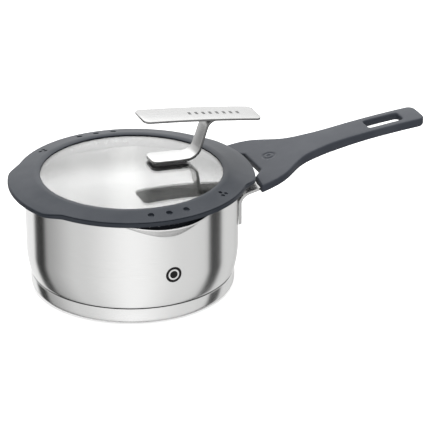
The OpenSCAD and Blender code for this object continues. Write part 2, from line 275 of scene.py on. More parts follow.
class Material(Graph):
    """A material round one Principled shader."""

    def __init__(self, name, colour, rough, metal=0.0):
        self.mat = bpy.data.materials.new(name)
        self.mat.use_nodes = True
        super().__init__(self.mat.node_tree)
        self.shader = self.tree.nodes["Principled BSDF"]
        self.shader.inputs["Base Color"].default_value = (*colour, 1)
        self.shader.inputs["Roughness"].default_value = rough
        self.shader.inputs["Metallic"].default_value = metal

    def where(self):
        return self.add("ShaderNodeTexCoord").outputs["Object"]

    def normal(self):
        return self.add("ShaderNodeTexCoord").outputs["Normal"]

    def split(self, vector):
        xyz = self.add("ShaderNodeSeparateXYZ")
        self.link(vector, xyz.inputs[0])
        return xyz.outputs

    def length(self, a, b):
        return self.calc("SQRT", self.calc("ADD", self.calc("POWER", a, 2.0), self.calc("POWER", b, 2.0)))

    def spread(self, value, low, high):
        """Stretches a 0 to 1 value to the range low to high."""
        m = self.add("ShaderNodeMapRange")
        m.inputs["To Min"].default_value = low
        m.inputs["To Max"].default_value = high
        self.link(value, m.inputs["Value"])
        return m.outputs[0]

    def inked(self, base, ink, colour):
        """`base` where ink is 0 and `colour` where it is 1."""
        mix = self.add("ShaderNodeMix", data_type="RGBA")
        self.link(ink, mix.inputs["Factor"])
        self.link(base, mix.inputs["A"])
        mix.inputs["B"].default_value = (*colour, 1)
        return mix.outputs["Result"]

    def toned(self, fac, colour, darker, lighter):
        """The colour, varied by a noise between a little darker and a little lighter."""
        return self.ramp(fac, [(0.3, mixed(colour, BLACK, darker)), (0.7, mixed(colour, WHITE, lighter))])

    def noise(self, scale, stretch=(1, 1, 1), detail=4.0, source=None):
        m = self.add("ShaderNodeMapping")
        m.inputs["Scale"].default_value = stretch
        self.link(source or self.where(), m.inputs["Vector"])
        n = self.add("ShaderNodeTexNoise")
        n.inputs["Scale"].default_value = scale
        n.inputs["Detail"].default_value = detail
        self.link(m.outputs[0], n.inputs["Vector"])
        return n.outputs["Fac"]

    def bump(self, height, strength, distance):
        b = self.add("ShaderNodeBump")
        b.inputs["Strength"].default_value = strength
        b.inputs["Distance"].default_value = distance
        self.link(height, b.inputs["Height"])
        self.link(b.outputs[0], self.shader.inputs["Normal"])


def mixed(a, b, t):
    """Colour a with the share t of colour b in it."""
    return tuple(x * (1 - t) + y * t for x, y in zip(a, b))


def turned_steel(name, colour, rough, aniso, mark):
    """Steel brushed round the Z axis. `mark` adds what is dark on it: painted shade in the groove, and
    etching.
    """
    m = Material(name, colour, rough, 1.0)
    x, y, z = m.split(m.where())
    turn = m.calc("ARCTAN2", y, x)
    brushed = m.add("ShaderNodeCombineXYZ")
    m.link(m.calc("MULTIPLY", turn, 0.05), brushed.inputs[0])
    m.link(m.calc("MULTIPLY", m.length(x, y), 9.0), brushed.inputs[1])
    m.link(m.calc("MULTIPLY", z, 9.0), brushed.inputs[2])
    lines = m.noise(260.0, detail=6.0, source=brushed.outputs[0])
    cloud = m.noise(9.0, detail=3.0)
    m.link(m.spread(cloud, rough * 0.9, rough * 1.12), m.shader.inputs["Roughness"])
    m.link(mark(m, turn, z, m.toned(lines, colour, 0.03, 0.03)), m.shader.inputs["Base Color"])
    m.shader.inputs["Anisotropic"].default_value = aniso
    m.shader.inputs["Anisotropic Rotation"].default_value = 0.25
    around_z = m.add("ShaderNodeTangent", direction_type="RADIAL", axis="Z")
    m.link(around_z.outputs[0], m.shader.inputs["Tangent"])
    m.bump(lines, 0.04, 0.0001)
    return m.mat


def straight_steel(name, colour, rough, along=(0.04, 1, 1), mark=None):
    """Steel brushed along one axis."""
    m = Material(name, colour, rough, 1.0)
    lines = m.noise(1800.0, stretch=along, detail=5.0)
    base = m.toned(lines, colour, 0.05, 0.05)
    if mark:
        base = mark(m, base)
    m.link(base, m.shader.inputs["Base Color"])
    cloud = m.noise(30.0, detail=2.0)
    m.link(m.spread(cloud, rough * 0.9, rough * 1.1), m.shader.inputs["Roughness"])
    m.bump(lines, 0.08, 0.00008)
    return m.mat


def silicone(name, colour, rough, level=0.5):
    """Matte rubber with a fine grain."""
    m = Material(name, colour, rough)
    cloud = m.noise(40.0, detail=3.0)
    m.link(m.toned(cloud, colour, 0.06, 0.012), m.shader.inputs["Base Color"])
    m.shader.inputs["Specular IOR Level"].default_value = level
    m.bump(m.noise(2600.0, detail=2.0), 0.12, 0.00006)
    return m.mat


def plain(name, colour, rough, metal=0.0):
    """Small parts of nylon, brass, steel or aluminium."""
    m = Material(name, colour, rough, metal)
    cloud = m.noise(150.0, detail=3.0)
    m.link(m.toned(cloud, colour, 0.08, 0.04), m.shader.inputs["Base Color"])
    m.bump(cloud, 0.05, 0.0001)
    return m.mat


def clear_glass(name):
    """Clear glass with a trace of smudges."""
    m = Material(name, (0.81, 0.815, 0.81), 0.0)
    m.shader.inputs["Transmission Weight"].default_value = 1.0
    m.shader.inputs["IOR"].default_value = 1.7
    m.link(m.spread(m.noise(22.0, detail=4.0), 0.0, 0.006), m.shader.inputs["Roughness"])
    return m.mat


# the painted groove shade and the marks: places and sizes in metres, the badge's turn in radians
GROOVE_MID = 0.01345
GROOVE_HALF = 0.00047
BADGE_TURN = math.radians(-88.0)
BADGE_Z = 0.040
BADGE_R = 0.0062
BADGE_RING = (0.0030, 0.0042)
WALL_R = 0.0805
ROW_START, ROW_END, ROW_PITCH = 0.046, 0.088, 0.0056
BAR_SHARE = 0.42
BAR_HALF = 0.0024


def painted_groove_shade(m, _turn, z, base):
    """Painted shade: colours the narrow groove between wall and base cup, and the cup's ledge beside it,
    dark inside, where shade falls.
    """
    facing = m.dot(m.where(), m.normal())
    inside_groove = m.calc("LESS_THAN", m.calc("ABSOLUTE", m.calc("SUBTRACT", z, GROOVE_MID)), GROOVE_HALF)
    outward = m.calc("GREATER_THAN", facing, -0.03)
    return m.inked(base, m.calc("MULTIPLY", inside_groove, outward), (0.03, 0.03, 0.03))


def badge(m, turn, z, base):
    """The painted shade in the groove, and a generic etched roundel: a dark disc with a plain light ring in
    it.
    """
    base = painted_groove_shade(m, turn, z, base)
    side = m.calc("MULTIPLY", m.calc("SUBTRACT", turn, BADGE_TURN), WALL_R)
    d = m.length(side, m.calc("SUBTRACT", z, BADGE_Z))
    low, high = BADGE_RING
    light = m.calc("MULTIPLY", m.calc("GREATER_THAN", d, low), m.calc("LESS_THAN", d, high))
    return m.inked(base, m.calc("SUBTRACT", m.calc("LESS_THAN", d, BADGE_R), light), (0.02, 0.02, 0.02))


def painted_side_shade(m, base):
    """Painted shade: the sides of a strip or plate, facing sideways, are coloured darker than its brushed
    faces, for their shadowed edges.
    """
    sideways = m.split(m.normal())[1]
    side = m.add("ShaderNodeMapRange")
    side.inputs["From Min"].default_value = 0.55
    side.inputs["From Max"].default_value = 0.85
    m.link(m.calc("ABSOLUTE", sideways), side.inputs["Value"])
    return m.inked(base, side.outputs[0], (0.16, 0.16, 0.16))


def etched_row(m, base):
    """A generic row of small etched bars across the grip plate, over painted shade on the plate's sides."""
    x, y, _ = m.split(m.where())
    phase = m.calc("FRACT", m.calc("DIVIDE", m.calc("SUBTRACT", x, ROW_START), ROW_PITCH))
    row = m.calc("MULTIPLY", m.calc("GREATER_THAN", x, ROW_START), m.calc("LESS_THAN", x, ROW_END))
    high = m.calc("LESS_THAN", m.calc("ABSOLUTE", y), BAR_HALF)
    ink = m.calc("MULTIPLY", m.calc("MULTIPLY", m.calc("LESS_THAN", phase, BAR_SHARE), row), high)
    return m.inked(painted_side_shade(m, base), ink, (0.03, 0.03, 0.03))


STEEL = (0.69, 0.69, 0.685)
mats = {
    "pan_steel": turned_steel("pan_steel", STEEL, 0.17, 0.95, badge),
    "base_steel": turned_steel("base_steel", mixed(STEEL, WHITE, 0.06), 0.20, 0.9, painted_groove_shade),
    "core_aluminium": plain("core_aluminium", (0.75, 0.75, 0.76), 0.4, 1.0),
    # painted shade: the bracket's steel is coloured darker than the pan's, for the shade it sits in under
    # the handle
    "bracket_steel": straight_steel("bracket_steel", mixed(STEEL, BLACK, 0.35), 0.22, along=(1, 1, 0.05)),
    "core_nylon": plain("core_nylon", (0.03, 0.03, 0.033), 0.55),
    "handle_silicone": silicone("handle_silicone", (0.029, 0.034, 0.045), 0.46, level=0.17),
    "insert_brass": plain("insert_brass", (0.7, 0.52, 0.24), 0.3, 1.0),
    "fastener_steel": plain("fastener_steel", (0.62, 0.62, 0.62), 0.25, 1.0),
    "plug_silicone": silicone("plug_silicone", (0.03, 0.032, 0.038), 0.5, level=0.24),
    "glass": clear_glass("glass"),
    "rim_silicone": silicone("rim_silicone", (0.025, 0.030, 0.039), 0.42, level=0.12),
    "strip_steel": straight_steel("strip_steel", mixed(STEEL, BLACK, 0.40), 0.26, mark=painted_side_shade),
    "plate_steel": straight_steel("plate_steel", mixed(STEEL, BLACK, 0.55), 0.24, mark=etched_row),
    "gasket_silicone": silicone("gasket_silicone", (0.07, 0.07, 0.072), 0.5),
    "bush_nylon": plain("bush_nylon", (0.02, 0.02, 0.02), 0.5),
}


def place(obj, body, slot, replaces):
    """Gives a piece its material and its body, in the place of a CAD node."""
    obj.data.materials.clear()
    obj.data.materials.append(mats[slot])
    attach(obj, body)
    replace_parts(obj, replaces)


# ---------- pan ----------

# the spout: how far down it flares, its lip's height and arc, the softness of its blend with the wall
FLARE_H = 13.5
LIP_Z = 82.0
LIP_ARC = 234.0
SOFT = 0.9
# in plan its lip is a circle that meets the rim this far to each side
SPOUT_HALF = math.radians(24)
CHORD = PAN_R * math.cos(SPOUT_HALF)
SPOUT_RHO = (LIP_R ** 2 + PAN_R ** 2 - 2 * LIP_R * CHORD) / (2 * (LIP_R - CHORD))
SPOUT_C = LIP_R - SPOUT_RHO
# the wall: its slight widening above the knee, and the height from which its points lie closer
TAPER = 0.3
KNEE_Z = 36.0
SPLIT_Z = 64.0
# the groove above the base cup, the floor's flat part and the corner between them
GROOVE_R = BASE_R - 0.1
GROOVE_Z = BASE_H + 0.5
FLOOR_R = BASE_R - 12.1
STEP_R = BASE_R - 1.5
CORNER_Z = BASE_H - 0.2
# the height of the edge's rounding
ROLL = 0.22


def wall_at(z):
    """Outside radius of the wall above the groove."""
    straight = PAN_R - TAPER
    if z < KNEE_Z:
        return straight - (straight - GROOVE_R) * ((KNEE_Z - z) / (KNEE_Z - GROOVE_Z)) ** 2.2
    return straight + TAPER * (z - KNEE_Z) / (RIM_Z - KNEE_Z)


def spout_push(turn, z, wall):
    """How far the wall stands out at a turn angle (radians, from the spout's middle) and height."""
    t = max(0.0, (z - (LIP_Z - FLARE_H)) / FLARE_H)
    rho = SPOUT_RHO - (LIP_R - PAN_R + SOFT) * (1 - t ** 1.6)
    s = SPOUT_C * math.sin(turn)
    if abs(s) >= rho or math.cos(turn) < 0:
        return 0.0
    d = SPOUT_C * math.cos(turn) + math.sqrt(rho * rho - s * s) - wall
    push = 0.0 if d < -SOFT else d if d > SOFT else (d + SOFT) ** 2 / (4 * SOFT)
    return push * min(1.0, t / 0.2)


def edge_height(turn):
    """Height of the pan's edge: the rim, dipping in an arc to the lip of a spout."""
    blend = 0.25
    top = RIM_Z
    for _ in range(4):
        wall = wall_at(top)
        x = (wall + spout_push(turn, top, wall)) * math.sin(turn)
        arc = LIP_Z + x * x / (2 * LIP_ARC) if turn < 1.2 else RIM_Z
        if arc > RIM_Z + blend:
            top = RIM_Z
        elif arc < RIM_Z - blend:
            top = arc
        else:
            top = RIM_Z - (RIM_Z + blend - arc) ** 2 / (4 * blend)
    return top


def make_pan():
    """Floor, corner, groove and wall, first outside, then rolled over the edge and back down inside."""
    segments = 360
    flat = [(r, FLOOR) for r in np.linspace(0.5, FLOOR_R, 14)[:-1]]
    corner = [(FLOOR_R + (STEP_R - FLOOR_R) * math.sin(t), CORNER_Z - (CORNER_Z - FLOOR) * math.cos(t))
              for t in np.linspace(0, math.pi / 2, 16)]
    # outside the wall steps in to the groove; inside it runs on plainly
    groove = [(STEP_R, BASE_H + 0.05), (STEP_R, BASE_H + 0.68), (GROOVE_R - 0.12, BASE_H + 0.7),
              (GROOVE_R, BASE_H + 0.9)]
    plain_step = [(STEP_R + 0.3, BASE_H + 0.1), (STEP_R + 0.7, BASE_H + 0.3), (STEP_R + 1.0, BASE_H + 0.55),
                  (STEP_R + 1.2, BASE_H + 0.8)]
    outer, smooth_side = [], []
    for i in range(segments):
        a = 2 * math.pi * i / segments
        turn = min(abs(a - math.pi / 2), abs(a - 3 * math.pi / 2))
        top = edge_height(turn)
        levels = list(np.linspace(GROOVE_Z + 0.7, KNEE_Z, 14)) + list(np.linspace(KNEE_Z, SPLIT_Z, 8)[1:])
        levels += [SPLIT_Z + (top - SPLIT_Z) * v for v in np.linspace(0, 1, 34)[1:]]
        wall_row = [(wall_at(z) + spout_push(turn, z, wall_at(z)), z) for z in levels]
        for rows_of, step in ((outer, groove), (smooth_side, plain_step)):
            line = flat + corner + step + wall_row
            rows_of.append([(r * math.cos(a), r * math.sin(a), z) for r, z in line])
    outer, smooth_side = np.array(outer), np.array(smooth_side)
    along = np.roll(smooth_side, -1, 0) - np.roll(smooth_side, 1, 0)
    up = np.gradient(smooth_side, axis=1)
    normal = np.cross(along, up)
    normal /= np.linalg.norm(normal, axis=2)[:, :, None]
    inner = smooth_side - WALL * normal
    out_edge, in_edge = outer[:, -1:], inner[:, -1:]
    lower = np.array((0, 0, ROLL))
    shoulder = np.array((0, 0, 0.14)) - lower
    rows = np.concatenate([outer[:, :-1], out_edge - lower, out_edge * 0.85 + in_edge * 0.15 + shoulder,
                           (out_edge + in_edge) / 2, out_edge * 0.15 + in_edge * 0.85 + shoulder,
                           in_edge - lower, inner[:, ::-1][:, 1:]], axis=1)
    cols = rows.shape[1]
    faces = [f[::-1] for f in strip_faces(segments, cols, True, False)]
    faces.append(tuple(i * cols for i in range(segments)))
    faces.append(tuple(i * cols + cols - 1 for i in range(segments))[::-1])
    return make("pan_body", rows.reshape(-1, 3), faces, sharp=38)


pan = make_pan()
place(pan, "pan", "pan_steel", "pan_shell")


CAP_EDGE = 5.0
CAP_T = 0.7


def cap_line(depth):
    """The base cup's bottom and rounded edge, moved inward by `depth`."""
    r = CAP_EDGE - depth
    return [(BASE_R - CAP_EDGE + r * math.sin(t), CAP_EDGE - r * math.cos(t))
            for t in np.linspace(0, math.pi / 2, 12)]


cap_top = [(BASE_R, BASE_H - 0.55), (BASE_R - 0.12, BASE_H - 0.25), (BASE_R - 0.4, BASE_H - 0.05),
           (BASE_R - 0.55, BASE_H), (STEP_R + 0.05, BASE_H), (STEP_R + 0.05, BASE_H - 0.6),
           (BASE_R - 0.75, BASE_H - 0.7)]
cap_outline = [(0.0, 0.0)] + cap_line(0) + cap_top + cap_line(CAP_T)[::-1] + [(0.0, CAP_T)]
cap = lathe("base_cup", cap_outline, sharp=40)
place(cap, "pan", "base_steel", "base_cap")


# ---------- lid ----------

# the sunk marks on the ring: dots over the fine holes, trefoils over the coarse ones
MARK_R, MARK_Z, MARK_CUT = 80.0, 91.4, 4.0
DOT_R, DOT_STEP = 2.4, 10.0
LEAF_R, LEAF_OFF = 1.5, 2.4
# the skirt that reaches into the pan, the seat round the glass and the lip under it
SKIRT_MID = 78.0
SKIRT_OUT = 79.2
SKIRT_IN = 77.0
SEAT_R = 73.55
EYE_R = 70.8
# the groups of straining holes: their turns and, for each hole, its radius, height and step in degrees
FINE_TURNS, FINE_R, FINE_Z, FINE_STEP = (-90, 90), 1.5, 81.2, 5.5
COARSE_TURNS, COARSE_R, COARSE_Z, COARSE_STEP = (-52, 128), 2.8, 80.6, 9.0


def rim_section(e):
    """The silicone rim's (r, z) outline at ear amount e, 0 on the round part and 1 in an ear."""
    def m(a, b):
        """Between a on the round part and b in an ear."""
        return a + (b - a) * e

    hi = rim_hi[2]
    rest_z = RIM_Z + 0.05
    top = [(69.3, 91.0, 0.2), (69.35, 91.42, 0.35), (71.1, hi - 0.15, 0.9), (73.6, hi - 0.02, 1.4),
           (80.5, m(90.47, 90.25), 1.5), (m(RING_R - 2.6, 88.3), m(89.13, 88.5), 1.0),
           (m(RING_R - 0.5, EAR_R - 0.95), m(88.66, 87.2), 0.5)]
    outer_bead = [(m(RING_R - 0.4, EAR_R - 0.3), m(88.3, 86.62), 0.15),
                  (m(RING_R - 1.1, EAR_R - 0.95), m(88.0, 86.3), 0.15),
                  (m(RING_R, EAR_R), m(87.65, 85.95), 0.35), (m(RING_R, EAR_R), m(85.0, 84.3), 0.5)]
    under = [(m(RING_R - 0.8, EAR_R - 0.9), m(84.5, 83.8), 0.4),
             (m(RING_R - 3.1, RING_R - 1.2), m(84.5, 84.25), 0.5),
             (RING_R - 4.5, rest_z, 0.3), (SKIRT_OUT, rest_z, 0.1)]
    skirt = [(SKIRT_OUT, rim_lo[2], 0.7), (SKIRT_IN, rim_lo[2], 0.7), (SKIRT_IN, 85.6, 0.3)]
    seat = [(EYE_R, 85.6, 0.4), (EYE_R, 87.1, 0.1), (SEAT_R, 87.1, 0.1), (SEAT_R, 91.0, 0.1)]
    return rounded(top + outer_bead + under + skirt + seat, 4)


def skirt_hole(turn, z, r):
    """A cutter through the skirt, along its radius."""
    return rod(polar(SKIRT_MID, turn, z), polar(1, turn, 0), r, 8)


def mark_cutter(centre, r, segments):
    """An upright cutter that sinks a mark into the ring's top."""
    return rod(centre, (0, 0, 1), r, MARK_CUT, segments)


def make_rim():
    """The ring with its two ears, the sunk marks and the straining holes."""
    segments = 432
    verts = []
    for i in range(segments):
        a = 360.0 * i / segments
        off = min(abs(a), abs(a - 180), abs(a - 360))
        verts += [polar(r, a, z) for r, z in rim_section(float(ease((EAR_HALF - off) / EAR_BLEND)))]
    cols = len(rim_section(0))
    obj = make("lid_ring", verts, [f[::-1] for f in strip_faces(segments, cols, True, True)])
    cutters = []
    for side in FINE_TURNS:
        cutters += [mark_cutter(polar(MARK_R, side + DOT_STEP * k, MARK_Z), DOT_R, 40) for k in (-1, 0, 1)]
        cutters += [skirt_hole(side + FINE_STEP * k, FINE_Z, FINE_R) for k in range(-3, 4)]
    for side in COARSE_TURNS:
        middle = np.array(polar(MARK_R, side, MARK_Z))
        leaves = [middle + polar(LEAF_OFF, side + 120 * k + 60, 0) for k in range(3)]
        cutters += [mark_cutter(leaf, LEAF_R, 32) for leaf in leaves]
        cutters += [skirt_hole(side + COARSE_STEP * k, COARSE_Z, COARSE_R) for k in (-1, 0, 1)]
    cut(obj, cutters)
    smooth(obj, 42)
    return obj


ring = make_rim()
place(ring, "lid", "rim_silicone", "lid_rim")

DOME_Z = glass_hi[2]
DOME_R = 470.0
GLASS_R = 73.5
GLASS_T = 3.0
STUD_R = 2.5
STUD_HOLE_R = 4.5


def dome(r, radius):
    """Height at distance r from the axis, on a sphere that shares the glass's centre."""
    return DOME_Z - DOME_R + math.sqrt(radius * radius - r * r)


upper = [(r, dome(r, DOME_R)) for r in np.linspace(0, GLASS_R - 0.9, 24)]
under = [(r, dome(r, DOME_R - GLASS_T)) for r in np.linspace(GLASS_R - 0.9, 0, 24)]
rim_top = dome(GLASS_R, DOME_R)
edge = [(GLASS_R - 0.3, rim_top - 0.15), (GLASS_R, rim_top - 0.7), (GLASS_R, rim_top - 2.3),
        (GLASS_R - 0.3, rim_top - 2.85)]
glass = lathe("glass_disc", (upper + edge + under)[::-1], closed=False)
stud_xs = (stud_lo[0] + STUD_R, stud_hi[0] - STUD_R)
cut(glass, [rod((x, 0, 90), (0, 0, 1), STUD_HOLE_R, 30, 48) for x in stud_xs])
smooth(glass, 40)
place(glass, "lid", "glass", "lid_glass")


# ---------- knob ----------

FOOT_TILT, STEM_TILT, FLANGE_TILT = (math.radians(v) for v in (-2.9, 71, -7.5))
FOOT_LENGTH, STEM_LENGTH, FLANGE_LENGTH = 28.5, 16.7, 21.3
FOOT_START = (14.3, 98.6 + 0.1 * math.tan(FOOT_TILT))
LOW_R, HIGH_R = 10.5, 8.5
STRIP_T = 2.2
PLATE_T = 1.8
PLATE_HALF = 13.25
PLATE_START, PLATE_TOP, PLATE_SLOPE, PLATE_ARCH = 11, 134.7, 0.085, 0.0004
PLAN_CORNER = 5.0
# stations close together where a corner is rounded in plan
FOOT_STEPS = (0, 0.003, 0.009, 0.02, 0.036, 0.058, 0.085, 0.12, 0.16, 0.18, 0.3, 0.5, 0.75)
FLANGE_STEPS = (0.3, 0.6, 0.86, 0.9, 0.93, 0.96, 0.98, 0.99, 1)


def heading(tilt):
    return np.array((math.cos(tilt), math.sin(tilt)))


def upright(tilt):
    return np.array((-math.sin(tilt), math.cos(tilt)))


def strip_path():
    """Centre line of the bent strip: foot, low bend, stem, high bend, flange."""
    foot_a = np.array(FOOT_START)
    foot_b = foot_a + FOOT_LENGTH * np.array((1, math.tan(FOOT_TILT)))
    low_c = foot_b + LOW_R * upright(FOOT_TILT)
    points = [foot_a + (foot_b - foot_a) * t for t in FOOT_STEPS]
    points += [low_c - LOW_R * upright(t) for t in np.linspace(FOOT_TILT, STEM_TILT, 15)]
    stem_a = points[-1]
    stem_b = stem_a + STEM_LENGTH * heading(STEM_TILT)
    points += [stem_a + (stem_b - stem_a) * t for t in (0.3, 0.6)]
    high_c = stem_b - HIGH_R * upright(STEM_TILT)
    points += [high_c + HIGH_R * upright(t) for t in np.linspace(STEM_TILT, FLANGE_TILT, 15)]
    flange_a = points[-1]
    points += [flange_a + FLANGE_LENGTH * t * heading(FLANGE_TILT) for t in FLANGE_STEPS]
    return points


def strip_half(x):
    """Half width of the strip: wide at the foot, slimmer from the stem on."""
    return float(np.interp(x, (38, 47, 60), (9.8, 8.17, 7.3)))


def plate_z(x):
    """Top of the grip plate, slightly arched."""
    x = x - PLATE_START
    return PLATE_TOP - PLATE_SLOPE * x - PLATE_ARCH * x ** 2


strip = bar("knob_strip_bent", strip_path(), strip_half, STRIP_T, 0.55, PLAN_CORNER, 3.0, sharp=60)
place(strip, "lid", "strip_steel", "knob_strip")
ends = PLAN_CORNER * (1 - np.cos(np.linspace(0, math.pi / 2, 9)))
middle = np.linspace(plate_lo[0] + 8, plate_hi[0] - 8, 24)
xs = np.concatenate([plate_lo[0] + ends, middle, plate_hi[0] - ends[::-1]])
plate_path = [(x, plate_z(x) - PLATE_T / 2) for x in xs]
plate = bar("knob_plate_top", plate_path, lambda x: PLATE_HALF, PLATE_T, 0.5, PLAN_CORNER, PLAN_CORNER,
            sharp=60)
place(plate, "lid", "plate_steel", "knob_plate")


# ---------- long handle ----------

END_CORNER = 6.0
STRAIGHT_END = HANDLE_END - END_CORNER
GRIP_HALF = 13.4
GRIP_T = 7.5
TOP_START, TOP_DROP, TOP_SLOPE, TOP_ARCH = 100, 2.8, 0.2213, 0.000566
# the arms: how much wider than the grip, where they run together and over what length
ARMS_EXTRA, ARMS_MID, ARMS_SPREAD = 28.0, 122.6, 8.5
SWELL, SWELL_X, SWELL_SPREAD = 1.1, 145.0, 12.0
# the arms' tips lie on a wide arc (its centre on the X axis), and the recess between them has corners
TIP_C, TIP_R = -180.0, 272.8
TIP_MIN_X, TIP_INNER_Y = 87.4, 22.9
RECESS = ((97.0, 18.0), (99.2, 15.9))
# the hanging slot, measured from the handle's end
SLOT_BACK, SLOT_FRONT, SLOT_HALF, SLOT_CORNER = 45.4, 16.4, 6.5, 2.7
# the sunk ring and dot: their place, the radii of their edges, depth and slope
MARK = np.array((112.5, 0.0))
RING_EDGES, DOT_EDGES = (5.0, 4.7, 3.7, 3.4), (1.7, 1.4)
MARK_DEPTH, MARK_SLOPE = 0.4, 0.3
EDGE_TOP, EDGE_LOW = 1.5, 1.9
GRID_START, GRID_HALF, GRID_STEP = 84.0, 42.0, 2.2


def top_z(x):
    """Height of the handle's top surface: it climbs from below the rim and arches over."""
    x = x - TOP_START
    return RIM_Z - TOP_DROP + TOP_SLOPE * x - TOP_ARCH * x ** 2


def mix_in(x, mid, length):
    """Goes from 0 at the root to 1 on the grip, half way at `mid`."""
    return 1 / (1 + np.exp(-(x - mid) / length))


def half_w(x):
    """Half width: wide arms, a waist, a slight swell and a rounded end."""
    tail = np.clip(x - STRAIGHT_END, 0, END_CORNER)
    end = END_CORNER - np.sqrt(np.maximum(0, END_CORNER ** 2 - tail ** 2))
    swell = SWELL * np.exp(-((x - SWELL_X) / SWELL_SPREAD) ** 2)
    return GRIP_HALF + ARMS_EXTRA * (1 - mix_in(x, ARMS_MID, ARMS_SPREAD)) + swell - end


def edge_t(x):
    """Thickness at the edge, slimmer at the root."""
    return GRIP_T - 0.8 * (1 - mix_in(x, 112, 6))


def belly(x):
    """How far the underside bulges, negative where it is hollow near the slot."""
    return 3 * mix_in(x, 122, 5) - 4.7 * ease((x - 160) / 35)


def even(points, step, soften):
    """Resamples a closed outline evenly and rounds its corners."""
    closed = np.vstack([points, points[:1]])
    run = np.concatenate([[0], np.cumsum(np.linalg.norm(np.diff(closed, axis=0), axis=1))])
    at = np.linspace(0, run[-1], int(run[-1] / step), endpoint=False)
    out = np.stack([np.interp(at, run, closed[:, 0]), np.interp(at, run, closed[:, 1])], 1)
    for _ in range(soften):
        out = out * 0.5 + (np.roll(out, 1, 0) + np.roll(out, -1, 0)) * 0.25
    return out


def inset(loop, d):
    """The loop moved to its left by d."""
    along = np.roll(loop, -1, 0) - np.roll(loop, 1, 0)
    along /= np.linalg.norm(along, axis=1)[:, None]
    return loop + d * np.stack([-along[:, 1], along[:, 0]], 1)


def inside(p, loop):
    """Which points lie inside a closed loop, by counting crossings."""
    a, b = loop, np.roll(loop, -1, 0)
    cross = (a[None, :, 1] > p[:, None, 1]) != (b[None, :, 1] > p[:, None, 1])
    with np.errstate(divide="ignore", invalid="ignore"):
        share = (p[:, None, 1] - a[None, :, 1]) / (b - a)[None, :, 1]
        x = a[None, :, 0] + share * (b - a)[None, :, 0]
    return (cross & (p[:, None, 0] < x)).sum(1) % 2 == 1


def nearest(p, loop):
    """Distance of each point from a closed loop."""
    side = np.roll(loop, -1, 0) - loop
    share = ((p[:, None] - loop[None]) * side[None]).sum(2) / (side ** 2).sum(1)[None]
    foot = loop[None] + np.clip(share, 0, 1)[..., None] * side[None]
    return np.sqrt(((foot - p[:, None]) ** 2).sum(2)).min(1)


def twice_area(a, b, c):
    """Twice the signed area of triangles in plan."""
    return (b - a)[:, 0] * (c - a)[:, 1] - (b - a)[:, 1] * (c - a)[:, 0]


def handle_outline():
    """The plan outline, counter-clockwise: sides, hollow arm tips and the recess between the arms."""
    round_end = STRAIGHT_END + END_CORNER * np.sin(np.linspace(0.15, math.pi / 2, 9))
    side_x = np.concatenate([np.linspace(88, 150, 70), np.linspace(152, STRAIGHT_END, 30), round_end])
    side = np.stack([side_x, half_w(side_x)], 1)
    tip_y = np.linspace(40.0, TIP_INNER_Y, 14)
    tip = np.stack([np.sqrt(TIP_R ** 2 - tip_y ** 2) + TIP_C, tip_y], 1)
    tip = tip[tip[:, 0] > TIP_MIN_X]
    side = side[side[:, 0] > tip[0, 0] + 0.3]
    upper_half = np.vstack([side[::-1], tip, np.array(RECESS)])
    lower_half = upper_half[::-1] * np.array((1, -1))
    outline = even(np.vstack([lower_half, upper_half]), 0.7, 3)
    following = np.roll(outline, -1, 0)
    area = np.sum(outline[:, 0] * following[:, 1] - following[:, 0] * outline[:, 1])
    return outline[::-1] if area < 0 else outline


def handle_slot():
    """The hanging slot's outline, clockwise."""
    x0, x1, w, r = HANDLE_END - SLOT_BACK, HANDLE_END - SLOT_FRONT, SLOT_HALF, SLOT_CORNER
    return even(rounded([(x0, -w, r), (x1, -w, r), (x1, w, r), (x0, w, r)], 8), 0.7, 1)[::-1]


def handle_plan(outline, slot):
    """Points and triangles of the plan: rows along both edges, rings of the mark and a grid between."""
    depths = EDGE_TOP * (1 - np.cos(np.radians((0, 18, 36, 54, 72, 90))))
    loops = [inset(c, d) for c in (outline, slot) for d in depths]
    turns = np.linspace(0, 2 * np.pi, 40, endpoint=False)
    loops += [MARK + r * np.stack([np.cos(turns), np.sin(turns)], 1) for r in RING_EDGES + DOT_EDGES]
    grid_x = np.arange(GRID_START, HANDLE_END, GRID_STEP) + 0.31
    grid_y = np.arange(-GRID_HALF, GRID_HALF + 0.1, GRID_STEP) + 0.17
    grid = np.stack([c.ravel() for c in np.meshgrid(grid_x, grid_y)], 1)
    grid = grid[inside(grid, outline) & ~inside(grid, slot)]
    clear = EDGE_TOP + 1.0
    grid = grid[(nearest(grid, outline) > clear) & (nearest(grid, slot) > clear)]
    from_mark = np.linalg.norm(grid - MARK, axis=1)
    grid = grid[(from_mark < DOT_EDGES[1] - 0.8) | (from_mark > RING_EDGES[0] + 0.8)]
    points, edges = [], []
    for c in loops:
        k = len(points)
        points += [tuple(p) for p in c]
        edges += [(k + i, k + (i + 1) % len(c)) for i in range(len(c))]
    points += [tuple(p) for p in grid]
    got = delaunay_2d_cdt([Vector(p) for p in points], edges, [], 0, 1e-6)
    v = np.array([tuple(p) for p in got[0]])
    f = np.array([tuple(t) for t in got[2]])
    centre = v[f].mean(1)
    f = f[inside(centre, outline) & ~inside(centre, slot)]
    used = np.unique(f)
    new_number = np.zeros(len(v), int)
    new_number[used] = np.arange(len(used))
    v, tri = v[used], new_number[f]
    turned_over = twice_area(v[tri[:, 0]], v[tri[:, 1]], v[tri[:, 2]]) < 0
    tri[turned_over] = tri[turned_over][:, ::-1]
    return v, tri


